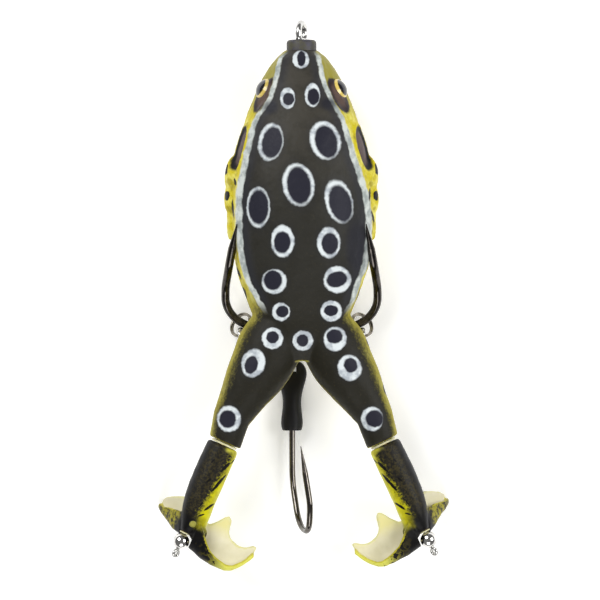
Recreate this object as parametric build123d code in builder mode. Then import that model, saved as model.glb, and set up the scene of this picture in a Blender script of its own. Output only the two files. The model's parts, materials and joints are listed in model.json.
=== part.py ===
from build123d import *
import os
from math import cos, radians, sin

# Hollow-bodied frog lure with two spinning propeller legs, a double hook and a trailing hook.
# Frame, in millimetres: the origin is the centre of the line-tie eye's hole, +Y points the way
# the nose points, +X is to the right seen from above the back, and +Z is up, out of the back.

os.makedirs("parts", exist_ok=True)

# ---- Driving dimensions ------------------------------------------------------------------------
SKIN_WALL = 1.2            # soft vinyl body wall
NOSE_FACE_Y = -2.93        # where the skin starts, behind the nose collar
CROTCH_Y = -54.6           # where the two thighs part

# Torso stations: place along Y, half width, top of the back, underside of the belly
TORSO = [
    (NOSE_FACE_Y, 2.9, 2.5, -2.3),
    (-5.0, 4.85, 4.1, -3.5),
    (-8.0, 6.7, 5.7, -5.0),
    (-12.0, 8.35, 7.2, -6.5),
    (-17.0, 9.9, 8.5, -7.8),
    (-22.0, 11.1, 9.2, -8.8),
    (-28.0, 11.75, 9.4, -9.3),
    (-34.0, 11.5, 8.9, -9.2),
    (-39.0, 11.1, 8.0, -8.4),
    (-43.0, 9.8, 6.9, -7.1),
    (-47.0, 8.2, 5.7, -5.5),
    (-51.0, 6.2, 4.7, -4.3),
    (CROTCH_Y, 3.2, 3.2, -3.0),
]
CAVITY_FRONT_Y = -6.5
CAVITY_REAR_Y = -50.0

LIMB_CENTRE = (10.2, -27.3, -0.6)      # moulded front limb, a long bump on each flank
LIMB_RADII = (2.75, 7.6, 4.2)

HIP = (5.3, -48.0, 0.4)                # start of each thigh's centre line, right-hand side
THIGH_Z = 0.4
# Thigh stations: distance from the hip, outward shift of the middle, half width, half height
THIGH = [
    (-2.0, -1.0, 4.4, 4.2),
    (3.0, -1.5, 5.4, 4.5),
    (7.0, -1.3, 5.2, 4.6),
    (10.0, -0.9, 4.9, 4.4),
    (14.0, -0.2, 3.9, 3.7),
    (17.5, 0.45, 3.05, 3.1),
]
KNEE_RADII = (2.8, 2.8)
THIGH_CAVITY_DEPTH = 10.5

# The soft body lets the two legs sit slightly unevenly: knee centre and splay from -Y, per side
KNEE = {"left": (-12.75, -68.2, THIGH_Z), "right": (13.5, -68.1, THIGH_Z)}
SPLAY_DEG = {"left": 23.9, "right": 25.2}
SIDES = {"left": -1, "right": 1}

SHAFT_R = 0.30             # leg shaft, a 0.6 mm stainless wire
RUNNING_CLEARANCE = 0.06
PLUG_R = 1.9
PLUG_LENGTH = 6.0
KNEE_WASHER = (0.10, 0.30, 2.2)        # front face from the knee, thickness, radius
CALF_START = 0.5
# Calf stations along the shaft: distance, half width, inward shift, half height
CALF = [
    (CALF_START, 2.5, -0.1, 2.5),
    (1.2, 2.72, -0.1, 2.68),
    (4.0, 2.75, -0.1, 2.72),
    (7.0, 2.76, -0.1, 2.7),
    (10.3, 2.6, 0.0, 2.55),
    (13.2, 2.4, 0.5, 2.2),
    (15.2, 1.85, 0.7, 1.7),
    (16.3, 1.2, 0.3, 1.15),
]
CALF_END = CALF[-1][0]
LINER_R = 0.7
LINER_BORE_REACH = 25.0    # the liner's bore is cut right through calf and ankle
ANKLE_WASHER = (16.36, 0.2, 0.9)
BEAD_AT = 18.0
BEAD_R = 1.38
LOOP_AT = 20.15
LOOP_R = 0.5
LOOP_WIRE_R = 0.28

WEB_THICKNESS = 0.9        # moulded web of the propeller foot
WEB_REACH = 14.0           # longer than any web, before it is trimmed to its outline
WEB_TRIM = 12.0            # tall enough to trim through the whole trough
RIM_DEG = 60.0             # where the trough's rear wall ends, up from level
LIP_RISE = 0.5             # how much the web's front lip turns up
INNER_TROUGH = (16.5, 3.1, 10.6)       # middle of the rear wall, its outer radius, front lip
OUTER_TROUGH = (14.3, 2.3, 10.8)
TOE_GAP = ((9.2, 12.2), 2.6)           # centre and radius of the scallop between the two toes
OUTER_WEB_DROP_DEG = 60.0              # how far the outer web turns down about the shaft

# Web outlines seen from above: distance inward from the shaft, distance along it
INNER_OUTLINE = [
    (0.9, 14.2), (3.3, 13.4), (5.2, 10.9), (6.0, 11.0), (6.7, 12.6), (11.4, 14.0), (11.9, 14.0),
    (11.9, 15.9), (10.3, 18.5), (8.6, 19.6), (5.0, 19.6), (1.8, 18.7), (0.9, 17.0),
]
OUTER_OUTLINE = [
    (0.9, 13.4), (5.2, 11.2), (11.0, 13.2), (11.6, 13.9), (11.2, 15.0), (4.0, 16.6), (0.9, 16.6),
]

EYE_CENTRE = (5.4, -9.9, 2.6)
EYE_R = 2.2

TIE_WIRE_R = 0.535
TIE_RING_R = 1.665         # to the middle of the wire
TIE_HOLE_R = 1.2
TIE_TWIST_DEG = 18.0       # the eye is turned this far about the shank
# The wire runs straight back from the eye, then steps down into the belly weight
TIE_ROUTE = [(0, -TIE_RING_R, 0), (0, -11, 0), (0, -18.5, -5.05), (0, -34, -5.05)]
TIE_BEND_R = 4.0
COLLAR = (2.5, 2.15, 1.8)              # half width, half height, thickness of the lip
COLLAR_ROUND = 0.6
STEM_R = 1.4
STEM_LENGTH = 2.9
STEM_HOLE_DEPTH = 7.0

HOOK_WIRE_R = 0.7
HOOK_SHANK_X = 0.6
HOOK_SHANK_Z = -6.3
HOOK_SHANK_START_Y = -24.7
HOOK_BEND_Y = -49.1
HOOK_BEND_R = 5.9
# Right arm beyond the shank: bend corner, two corners on the way up the flank, base of the point
HOOK_ARM = [
    (12.85, HOOK_BEND_Y, HOOK_SHANK_Z),
    (12.7, -42.3, -2.2),
    (12.03, -38.7, 1.5),
    (11.5, -36.0, 2.9),
]
HOOK_RADII = [HOOK_BEND_R, HOOK_BEND_R, 8.0, 4.0]
HOOK_CLEARANCE = 0.12
HOOK_POINT_LENGTH = 4.7
POINT_R = 0.07

WEIGHT_FRONT = (0, -23.5, -5.4)       # cast round the hook shank and the tail of the tie wire
WEIGHT_SIZE = (7.0, 13.5, 3.9)
WEIGHT_ROUND = 1.8
WEIGHT_END_ROUND = 1.2

RING_R = 2.0               # split ring, to the middle of the coil
RING_WIRE_R = 0.42
RING_NORMAL = (0.60, 0.39, 0.69)       # right-hand ring; the left one is its mirror image
RING_CENTRE = (10.15, -48.65, -6.15)

BRIDLE_WIRE_R = 0.35
BRIDLE_EYE_R = 1.0
BRIDLE_EYE_SHIFT = 0.08                # from the split ring's wire to the middle of the bridle eye
BRIDLE_CRIMP_R = 0.62
BRIDLE_SHOULDER = (6.0, -51.4, -7.2)   # where each arm turns towards its split ring
BRIDLE_BEND_R = 2.0
SPOKE = (0.5, 0.85)                    # inward and back, from the split ring's centre to the link
APEX = (-1.6, -54.6, -6.7)             # the bridle's middle ring, turned across the lure
APEX_RING_R = 1.5
APEX_WIRE_R = 0.4

STINGER_WIRE_R = 0.5
STINGER_EYE_R = 1.6
STINGER_EYE_WIRE_R = 0.45
STINGER_EYE_PLAY = 1.0     # how far the two linked rings overlap along the lure
# Corners of the trailing hook beyond its eye, from the end of the shank round to the point's base
STINGER_CORNERS = [
    (-1.55, -75.0, -7.0),
    (-0.35, -82.7, -4.6),
    (1.25, -83.1, 1.2),
    (1.45, -78.6, 2.6),
    (0.62, -73.4, 2.2),
]
STINGER_RADII = [14.0, 5.0, 2.6, 6.0]
STINGER_POINT_LENGTH = 4.7

# Shrunk sleeve stations: place along Y, half width, half height
SLEEVE = [
    (-54.9, 1.5, 0.95),
    (-57.2, 2.45, 1.2),
    (-59.8, 1.8, 1.5),
    (-62.2, 1.56, 1.55),
    (-66.4, 1.58, 1.55),
]
SLEEVE_SLOT_GAP = 0.3      # all round the bridle's middle ring


def save(part, name):
    """Label one finished piece and write it to its own STEP file."""
    part.label = name
    export_step(part, f"parts/{name}.step")


def across_y(x, y, z):
    """A plane square to the lure's length, with its own X to the right and Y upward."""
    return Plane(origin=(x, y, z), x_dir=(1, 0, 0), z_dir=(0, -1, 0))


def torso(inset, front_y, rear_y):
    """The torso's loft, drawn in by inset, between two places on its length."""
    with BuildPart() as trunk:
        for y, half_width, top, bottom in TORSO:
            if rear_y <= y <= front_y:
                with BuildSketch(across_y(0, y, (top + bottom) / 2)):
                    Ellipse(half_width - inset, (top - bottom) / 2 - inset)
        loft()
    return trunk.part


def ellipsoid(centre, radii):
    """A closed ellipsoid with its axes along X, Y and Z."""
    with BuildPart() as blob:
        Sphere(1)
        scale(by=radii)
    return blob.part.moved(Location(centre))


def shaft_direction(side):
    """Unit vector along a leg shaft, from knee to foot."""
    angle = radians(SPLAY_DEG[side])
    return Vector(SIDES[side] * sin(angle), -cos(angle), 0)


def inward_direction(side):
    """Unit vector square to a leg shaft, towards the middle of the lure."""
    angle = radians(SPLAY_DEG[side])
    return Vector(-SIDES[side] * cos(angle), -sin(angle), 0)


def shaft_plane(side, distance):
    """A plane square to a leg shaft, distance along it from the knee; its X points inward."""
    centre = Vector(*KNEE[side]) + shaft_direction(side) * distance
    return Plane(origin=centre, x_dir=inward_direction(side), z_dir=shaft_direction(side))


def leg_plane(side):
    """The level plane through a leg shaft: X inward, Y back towards the knee."""
    return Plane(origin=KNEE[side], x_dir=inward_direction(side), z_dir=(0, 0, -SIDES[side]))


def thigh_plane(side, distance, shift):
    """A plane square to a thigh's centre line, its X pointing outward."""
    sign = SIDES[side]
    hip = Vector(sign * HIP[0], HIP[1], HIP[2])
    along = (Vector(*KNEE[side]) - hip).normalized()
    outward = along.cross(Vector(0, 0, sign))
    outward = outward if outward.X * sign > 0 else outward * -1
    centre = hip + along * distance + outward * shift
    return Plane(origin=centre, x_dir=outward, z_dir=along)


def ring(centre, normal, ring_r, wire_r):
    """A closed wire ring about the normal through its centre."""
    with BuildPart() as loop:
        with Locations(Plane(origin=centre, z_dir=normal)):
            Torus(ring_r, wire_r)
    return loop.part


def swept_wire(points, radii, wire_r):
    """A round wire along straight runs joined by tangent arcs."""
    with BuildPart() as wire:
        with BuildLine() as route:
            FilletPolyline(*points, radius=radii)
        with BuildSketch(Plane(origin=route.line @ 0, z_dir=route.line % 0)):
            Circle(wire_r)
        sweep(path=route.line)
    return wire.part


def needle(before, start, length, start_r, tip_r):
    """A ground point that carries on straight from the wire's last run and tapers to its tip."""
    direction = (Vector(*start) - Vector(*before)).normalized()
    base = Plane(origin=start, z_dir=direction)
    with BuildPart() as point:
        with BuildSketch(base):
            Circle(start_r)
        with BuildSketch(base.offset(length)):
            Circle(tip_r)
        loft()
    return point.part


# ---- Line tie ------------------------------------------------------------------------------------
eye_axis = Vector(cos(radians(TIE_TWIST_DEG)), 0, sin(radians(TIE_TWIST_DEG)))

with BuildPart() as line_tie_wire:
    add(ring((0, 0, 0), eye_axis, TIE_RING_R, TIE_WIRE_R))
    add(swept_wire(TIE_ROUTE, TIE_BEND_R, TIE_WIRE_R))
    with BuildSketch(Plane(origin=(0, 0, 0), z_dir=eye_axis)):
        Circle(TIE_HOLE_R)
    extrude(amount=TIE_RING_R, both=True, mode=Mode.SUBTRACT)
save(line_tie_wire.part, "line_tie_wire")

with BuildPart() as nose_collar:
    with BuildSketch(across_y(0, NOSE_FACE_Y + COLLAR[2], 0.1)):
        Ellipse(COLLAR[0], COLLAR[1])
    extrude(amount=COLLAR[2])
    fillet(nose_collar.faces().sort_by(Axis.Y)[-1].edges(), radius=COLLAR_ROUND)
    with BuildSketch(across_y(0, NOSE_FACE_Y, 0)):
        Circle(STEM_R)
    extrude(amount=STEM_LENGTH)
    add(line_tie_wire.part, mode=Mode.SUBTRACT)
save(nose_collar.part, "nose_collar")


# ---- Double hook ---------------------------------------------------------------------------------
def hook_half(sign, grow):
    """One arm of the double hook: shank, round bend and needle point, thickened by grow."""
    route = [
        (sign * HOOK_SHANK_X, HOOK_SHANK_START_Y, HOOK_SHANK_Z),
        (sign * HOOK_SHANK_X, HOOK_BEND_Y, HOOK_SHANK_Z),
    ]
    route += [(sign * x, y, z) for x, y, z in HOOK_ARM]
    with BuildPart() as half:
        add(swept_wire(route, HOOK_RADII, HOOK_WIRE_R + grow))
        add(needle(*route[-2:], HOOK_POINT_LENGTH, HOOK_WIRE_R + grow, POINT_R + grow))
    return half.part


with BuildPart() as double_hook:
    add(hook_half(-1, 0))
    add(hook_half(1, 0))
save(double_hook.part, "double_hook")

with BuildPart() as belly_weight:
    with BuildSketch(across_y(*WEIGHT_FRONT)):
        RectangleRounded(WEIGHT_SIZE[0], WEIGHT_SIZE[2], radius=WEIGHT_ROUND)
    extrude(amount=WEIGHT_SIZE[1])
    fillet(belly_weight.faces().filter_by(Axis.Y).edges(), radius=WEIGHT_END_ROUND)
    add(double_hook.part, mode=Mode.SUBTRACT)
    add(line_tie_wire.part, mode=Mode.SUBTRACT)
save(belly_weight.part, "belly_weight")


# ---- Body skin -----------------------------------------------------------------------------------
def thigh(side):
    """The solid thigh, from inside the torso to the flat knee end."""
    with BuildPart() as leg:
        for distance, shift, half_width, half_height in THIGH:
            with BuildSketch(thigh_plane(side, distance, shift)):
                Ellipse(half_width, half_height)
        with BuildSketch(shaft_plane(side, 0)):
            Ellipse(*KNEE_RADII)
        loft()
    return leg.part


def thigh_cavity(side):
    """The hollow inside a thigh, open to the torso's hollow."""
    with BuildPart() as hollow:
        for distance, shift, half_width, half_height in THIGH:
            if distance <= THIGH_CAVITY_DEPTH:
                with BuildSketch(thigh_plane(side, distance, shift)):
                    Ellipse(half_width - SKIN_WALL, half_height - SKIN_WALL)
        loft()
    return hollow.part


with BuildPart() as body_skin:
    add(torso(0, NOSE_FACE_Y, CROTCH_Y))
    for side, sign in SIDES.items():
        add(thigh(side))
        add(ellipsoid((sign * LIMB_CENTRE[0], LIMB_CENTRE[1], LIMB_CENTRE[2]), LIMB_RADII))
    add(torso(SKIN_WALL, CAVITY_FRONT_Y, CAVITY_REAR_Y), mode=Mode.SUBTRACT)
    for side, sign in SIDES.items():
        add(thigh_cavity(side), mode=Mode.SUBTRACT)
        add(hook_half(sign, HOOK_CLEARANCE), mode=Mode.SUBTRACT)
        with Locations((sign * EYE_CENTRE[0], EYE_CENTRE[1], EYE_CENTRE[2])):
            Sphere(EYE_R, mode=Mode.SUBTRACT)
        with BuildSketch(shaft_plane(side, -PLUG_LENGTH)):
            Circle(PLUG_R)
        extrude(amount=PLUG_LENGTH + 1, mode=Mode.SUBTRACT)
    with BuildSketch(across_y(0, NOSE_FACE_Y + 1, 0)):
        Circle(STEM_R)
    extrude(amount=STEM_HOLE_DEPTH + 1, mode=Mode.SUBTRACT)
save(body_skin.part, "body_skin")

for side, sign in SIDES.items():
    with BuildPart() as frog_eye:
        with Locations((sign * EYE_CENTRE[0], EYE_CENTRE[1], EYE_CENTRE[2])):
            Sphere(EYE_R)
    save(frog_eye.part, f"{side}_eye")


# ---- Propeller legs ------------------------------------------------------------------------------
def web(side, trough, outline):
    """A cupped web: a trough across the shaft, trimmed to the outline seen from above."""
    centre_s, outer_r, lip_s = trough
    inner_r = outer_r - WEB_THICKNESS
    cross = Plane(
        origin=KNEE[side],
        x_dir=shaft_direction(side),
        z_dir=shaft_direction(side).cross(Vector(0, 0, 1)),
    )
    reach = WEB_REACH if cross.z_dir.dot(inward_direction(side)) > 0 else -WEB_REACH
    rim = (cos(radians(RIM_DEG)), sin(radians(RIM_DEG)))
    with BuildPart() as cup:
        with BuildSketch(cross):
            with BuildLine():
                CenterArc((centre_s, 0), outer_r, -90, 90 + RIM_DEG)
                Line(
                    (centre_s + outer_r * rim[0], outer_r * rim[1]),
                    (centre_s + inner_r * rim[0], inner_r * rim[1]),
                )
                CenterArc((centre_s, 0), inner_r, -90, 90 + RIM_DEG)
                Line((centre_s, -inner_r), (lip_s, -inner_r + LIP_RISE))
                Line((lip_s, -inner_r + LIP_RISE), (lip_s, -outer_r + LIP_RISE))
                Line((lip_s, -outer_r + LIP_RISE), (centre_s, -outer_r))
            make_face()
        extrude(amount=reach)
        with BuildSketch(leg_plane(side)):
            with BuildLine():
                Polyline(*[(u, -s) for u, s in outline], close=True)
            make_face()
        extrude(amount=WEB_TRIM, both=True, mode=Mode.INTERSECT)
    return cup.part


for side, sign in SIDES.items():
    shaft_axis = Axis(KNEE[side], shaft_direction(side))
    (gap_u, gap_s), gap_r = TOE_GAP
    mirror_plane = Plane(origin=KNEE[side], z_dir=inward_direction(side))
    outer_web = mirror(web(side, OUTER_TROUGH, OUTER_OUTLINE), about=mirror_plane)

    with BuildPart() as prop_leg:
        for distance, half_width, shift, half_height in CALF:
            with BuildSketch(shaft_plane(side, distance)):
                with Locations((shift, 0)):
                    Ellipse(half_width, half_height)
        loft()
        add(web(side, INNER_TROUGH, INNER_OUTLINE))
        with BuildSketch(leg_plane(side)):
            with Locations((gap_u, -gap_s)):
                Circle(gap_r)
        extrude(amount=WEB_TRIM, both=True, mode=Mode.SUBTRACT)
        add(outer_web.rotate(shaft_axis, -sign * OUTER_WEB_DROP_DEG))
        with BuildSketch(shaft_plane(side, 0)):
            Circle(LINER_R)
        extrude(amount=LINER_BORE_REACH, mode=Mode.SUBTRACT)
    save(prop_leg.part, f"{side}_prop_leg")

    with BuildPart() as leg_liner:
        with BuildSketch(shaft_plane(side, CALF_START)):
            Circle(LINER_R)
            Circle(SHAFT_R + RUNNING_CLEARANCE, mode=Mode.SUBTRACT)
        extrude(amount=CALF_END - CALF_START)
    save(leg_liner.part, f"{side}_leg_liner")

    with BuildPart() as leg_shaft:
        with BuildSketch(shaft_plane(side, -PLUG_LENGTH)):
            Circle(SHAFT_R)
        extrude(amount=PLUG_LENGTH + LOOP_AT - LOOP_R)
        with Locations(Plane(
            origin=Vector(*KNEE[side]) + shaft_direction(side) * LOOP_AT,
            z_dir=Vector(0, 0, 1) + inward_direction(side),
        )):
            Torus(LOOP_R, LOOP_WIRE_R)
    save(leg_shaft.part, f"{side}_leg_shaft")

    with BuildPart() as knee_plug:
        with BuildSketch(shaft_plane(side, -PLUG_LENGTH)):
            Circle(PLUG_R)
            Circle(SHAFT_R, mode=Mode.SUBTRACT)
        extrude(amount=PLUG_LENGTH)
    save(knee_plug.part, f"{side}_knee_plug")

    for name, (distance, thickness, radius) in {
        "knee_washer": KNEE_WASHER,
        "ankle_washer": ANKLE_WASHER,
    }.items():
        with BuildPart() as washer:
            with BuildSketch(shaft_plane(side, distance)):
                Circle(radius)
                Circle(SHAFT_R + RUNNING_CLEARANCE, mode=Mode.SUBTRACT)
            extrude(amount=thickness)
        save(washer.part, f"{side}_{name}")

    with BuildPart() as bead:
        with Locations(shaft_plane(side, BEAD_AT)):
            Sphere(BEAD_R)
        with BuildSketch(shaft_plane(side, BEAD_AT)):
            Circle(SHAFT_R + RUNNING_CLEARANCE)
        extrude(amount=BEAD_R + 1, both=True, mode=Mode.SUBTRACT)
    save(bead.part, f"{side}_bead")


# ---- Split rings, bridle and trailing hook -------------------------------------------------------
for side, sign in SIDES.items():
    centre = (sign * RING_CENTRE[0], RING_CENTRE[1], RING_CENTRE[2])
    normal = (sign * RING_NORMAL[0], RING_NORMAL[1], RING_NORMAL[2])
    with BuildPart() as split_ring:
        add(ring(centre, normal, RING_R, RING_WIRE_R))
    save(split_ring.part, f"{side}_split_ring")

with BuildPart() as bridle:
    add(ring(APEX, (1, 0, 0), APEX_RING_R, APEX_WIRE_R))
    with Locations((APEX[0], APEX[1] + APEX_RING_R, APEX[2])):
        Sphere(BRIDLE_CRIMP_R)
    for side, sign in SIDES.items():
        normal = Vector(sign * RING_NORMAL[0], RING_NORMAL[1], RING_NORMAL[2]).normalized()
        centre = Vector(sign * RING_CENTRE[0], RING_CENTRE[1], RING_CENTRE[2])
        spoke = Vector(-sign * SPOKE[0], -SPOKE[1], 0)
        spoke = (spoke - normal * spoke.dot(normal)).normalized()
        link = centre + spoke * (RING_R + BRIDLE_EYE_SHIFT)
        eye_normal = normal.cross(spoke)
        outward = (link - Vector(*APEX)).normalized()
        arm_end = link - (outward - eye_normal * outward.dot(eye_normal)).normalized() * BRIDLE_EYE_R
        add(ring(link, eye_normal, BRIDLE_EYE_R, BRIDLE_WIRE_R))
        shoulder = (sign * BRIDLE_SHOULDER[0], BRIDLE_SHOULDER[1], BRIDLE_SHOULDER[2])
        crimp = (APEX[0], APEX[1] + APEX_RING_R, APEX[2])
        add(swept_wire([crimp, shoulder, arm_end], BRIDLE_BEND_R, BRIDLE_WIRE_R))
save(bridle.part, "bridle_wire")

stinger_eye_y = APEX[1] - APEX_RING_R + STINGER_EYE_PLAY - STINGER_EYE_R
stinger_route = [(APEX[0], stinger_eye_y - STINGER_EYE_R, APEX[2])] + STINGER_CORNERS
with BuildPart() as stinger_hook:
    add(ring((APEX[0], stinger_eye_y, APEX[2]), (0, 0, 1), STINGER_EYE_R, STINGER_EYE_WIRE_R))
    add(swept_wire(stinger_route, STINGER_RADII, STINGER_WIRE_R))
    add(needle(*stinger_route[-2:], STINGER_POINT_LENGTH, STINGER_WIRE_R, POINT_R))
save(stinger_hook.part, "stinger_hook")

with BuildPart() as stinger_tube:
    for y, half_width, half_height in SLEEVE:
        with BuildSketch(across_y(APEX[0], y, APEX[2])):
            Ellipse(half_width, half_height)
    loft()
    with Locations(Plane(origin=APEX, z_dir=(1, 0, 0))):
        slot_r = APEX_RING_R + APEX_WIRE_R + SLEEVE_SLOT_GAP
        slot_width = 2 * (APEX_WIRE_R + SLEEVE_SLOT_GAP)
        Cylinder(slot_r, slot_width, mode=Mode.SUBTRACT)
    add(stinger_hook.part, mode=Mode.SUBTRACT)
save(stinger_tube.part, "stinger_tube")
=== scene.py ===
import json
import math
from functools import partialmethod, reduce

import bmesh
import bpy
from mathutils import Matrix, Vector, noise
from mathutils.kdtree import KDTree


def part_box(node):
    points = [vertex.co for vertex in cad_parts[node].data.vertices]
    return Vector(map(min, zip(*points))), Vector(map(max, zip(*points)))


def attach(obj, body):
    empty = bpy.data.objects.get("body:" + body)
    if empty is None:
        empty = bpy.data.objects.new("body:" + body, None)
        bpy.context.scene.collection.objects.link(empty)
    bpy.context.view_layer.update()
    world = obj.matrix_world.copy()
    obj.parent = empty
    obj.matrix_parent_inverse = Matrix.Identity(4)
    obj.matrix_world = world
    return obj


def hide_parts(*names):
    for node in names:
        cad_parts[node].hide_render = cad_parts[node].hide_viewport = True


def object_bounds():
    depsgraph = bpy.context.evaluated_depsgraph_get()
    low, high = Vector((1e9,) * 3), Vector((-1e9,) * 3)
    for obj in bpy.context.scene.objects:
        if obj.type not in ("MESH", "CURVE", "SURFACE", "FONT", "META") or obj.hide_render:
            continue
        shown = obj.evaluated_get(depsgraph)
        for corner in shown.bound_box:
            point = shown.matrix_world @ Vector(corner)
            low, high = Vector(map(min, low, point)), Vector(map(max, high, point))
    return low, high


# Looks of the hollow frog lure. Lengths in the helpers and tables are millimetres, and MM makes
# them Blender's metres. The row frame is the CAD's: +Y to the nose, +Z out of the back.

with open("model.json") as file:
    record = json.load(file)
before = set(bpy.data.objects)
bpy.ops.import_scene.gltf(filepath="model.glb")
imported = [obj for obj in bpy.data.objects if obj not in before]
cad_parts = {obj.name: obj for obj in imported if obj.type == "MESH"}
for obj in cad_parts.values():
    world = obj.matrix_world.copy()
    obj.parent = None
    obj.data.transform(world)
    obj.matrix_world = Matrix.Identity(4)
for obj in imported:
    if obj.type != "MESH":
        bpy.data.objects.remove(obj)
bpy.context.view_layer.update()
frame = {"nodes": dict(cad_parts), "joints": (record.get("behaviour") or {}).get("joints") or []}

MM = 0.001
UP = Vector((0, 0, 1))
SIDES = {"left": -1, "right": 1}
joints = {joint["name"]: joint for joint in frame["joints"]}


def srgb(red, green, blue):
    """A linear colour from 8-bit sRGB values."""
    def linear(value):
        share = value / 255
        return share / 12.92 if share <= 0.04045 else ((share + 0.055) / 1.055) ** 2.4
    return (linear(red), linear(green), linear(blue), 1.0)


# ---- Leg frames, taken from the joints ----
KNEE = {}
ALONG = {}
INWARD = {}
for side, sign in SIDES.items():
    spin = joints[side + "_leg_spin"]
    KNEE[side] = Vector(spin["pos_m"]) / MM
    ALONG[side] = Vector(spin["axis"]).normalized()
    INWARD[side] = Vector((sign * ALONG[side].y, -sign * ALONG[side].x, 0))


def leg_point(side, inward, along, up):
    """A point in the row frame from leg coordinates, measured from the knee."""
    return KNEE[side] + INWARD[side] * inward + ALONG[side] * along + UP * up


# ---- Node materials ----
class Paint:
    """One node material. Most methods add a node and return its output."""

    def __init__(self, name, **principled):
        self.material = bpy.data.materials.new(name)
        self.material.use_nodes = True
        self.tree = self.material.node_tree
        self.shader = self.tree.nodes["Principled BSDF"]
        self.colour = None
        for socket, value in principled.items():
            self.shader.inputs[socket.replace("_", " ").title()].default_value = value

    def node(self, kind, inputs=(), **settings):
        made = self.tree.nodes.new(kind)
        for key, value in settings.items():
            setattr(made, key, value)
        for key, value in dict(inputs).items():
            self.feed(made.inputs[key], value)
        return made

    def feed(self, socket, value):
        if isinstance(value, bpy.types.NodeSocket):
            self.tree.links.new(value, socket)
        else:
            socket.default_value = value

    def set(self, socket, value):
        self.feed(self.shader.inputs[socket], value)

    def place(self):
        """The point being shaded, in the object's own frame, in millimetres."""
        source = self.node("ShaderNodeTexCoord").outputs["Object"]
        return self.vector("SCALE", source, scale=1 / MM)

    def facing(self):
        """The surface normal in the object's own frame."""
        return self.node("ShaderNodeTexCoord").outputs["Normal"]

    def vector(self, operation, a, b=None, scale=None):
        inputs = {0: a, 1: b, "Scale": scale}
        given = {key: value for key, value in inputs.items() if value is not None}
        made = self.node("ShaderNodeVectorMath", given, operation=operation)
        single = operation in ("LENGTH", "DOT_PRODUCT", "DISTANCE")
        return made.outputs["Value" if single else "Vector"]

    def dot(self, vector, direction):
        return self.vector("DOT_PRODUCT", vector, tuple(direction))

    def split(self, vector):
        return self.node("ShaderNodeSeparateXYZ", {"Vector": vector}).outputs

    def math(self, operation, *values):
        inputs = dict(enumerate(values))
        return self.node("ShaderNodeMath", inputs, operation=operation).outputs[0]

    times = partialmethod(math, "MULTIPLY")
    plus = partialmethod(math, "ADD")
    minus = partialmethod(math, "SUBTRACT")
    larger = partialmethod(math, "MAXIMUM")
    size_of = partialmethod(math, "ABSOLUTE")

    def least(self, reaches):
        """The smallest of several distances, made and folded in one by one."""
        return reduce(lambda a, b: self.math("MINIMUM", a, b), reaches)

    def point(self, x, y, z=0.0):
        return self.node("ShaderNodeCombineXYZ", {"X": x, "Y": y, "Z": z}).outputs[0]

    def stored(self, name):
        """A number stored on the mesh's vertices."""
        return self.node("ShaderNodeAttribute", attribute_name=name).outputs["Fac"]

    def reach(self, place, centre, radii, lean=0.0):
        """Distance over radius from an ellipsoid's centre, leaning by degrees about Z."""
        turn = (0, 0, math.radians(lean))
        inputs = {"Vector": place, "Location": centre, "Rotation": turn, "Scale": radii}
        made = self.node("ShaderNodeMapping", inputs, vector_type="TEXTURE")
        return self.vector("LENGTH", made.outputs["Vector"])

    def oval(self, flat, spot, lean=0.0):
        """Distance over half size from a leaning oval's centre: 1 on its edge."""
        x, y, half_x, half_y = spot
        return self.reach(flat, (x, y, 0), (half_x, half_y, 1), lean)

    def step(self, value, low, high):
        """0 below low, 1 above high, smooth between; low may be the larger."""
        made = self.node(
            "ShaderNodeMapRange",
            {"Value": value, "From Min": low, "From Max": high},
            interpolation_type="SMOOTHSTEP",
        )
        return made.outputs["Result"]

    def both(self, *ramps):
        """The product of two steps, each given as (value, low, high)."""
        return self.times(*(self.step(*ramp) for ramp in ramps))

    def curve(self, value, points, low, high):
        """A smooth curve through (input, output) points, both within low..high."""
        span = high - low
        scaled = self.math("DIVIDE", self.minus(value, low), span)
        made = self.node("ShaderNodeFloatCurve", {"Value": scaled})
        line = made.mapping.curves[0]
        while len(line.points) < len(points):
            line.points.new(0.5, 0.5)
        for point, (x, y) in zip(line.points, sorted(points)):
            point.location = ((x - low) / span, (y - low) / span)
            point.handle_type = "AUTO"
        made.mapping.update()
        return self.plus(self.times(made.outputs[0], span), low)

    def noise(self, vector, scale, detail=2.0, roughness=0.5):
        made = self.node(
            "ShaderNodeTexNoise",
            {"Vector": vector, "Scale": scale, "Detail": detail, "Roughness": roughness},
        )
        return made.outputs["Fac"]

    def warped(self, vector, scale, amount):
        """The point moved about by noise, so that a painted edge isn't perfect."""
        made = self.node("ShaderNodeTexNoise", {"Vector": vector, "Scale": scale, "Detail": 2.0})
        shift = self.vector("SUBTRACT", made.outputs["Color"], (0.5, 0.5, 0.5))
        return self.vector("ADD", vector, self.vector("SCALE", shift, scale=amount))

    def mix(self, factor, below, above):
        inputs = {0: factor, 6: below, 7: above}
        return self.node("ShaderNodeMix", inputs, data_type="RGBA").outputs[2]

    def over(self, factor, above):
        """Paints a colour over what is painted so far."""
        self.colour = self.mix(factor, self.colour, above)

    def bump(self, height, distance, strength=1.0, under=None):
        inputs = {"Height": height, "Distance": distance * MM, "Strength": strength}
        if under is not None:
            inputs["Normal"] = under
        return self.node("ShaderNodeBump", inputs).outputs["Normal"]


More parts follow.
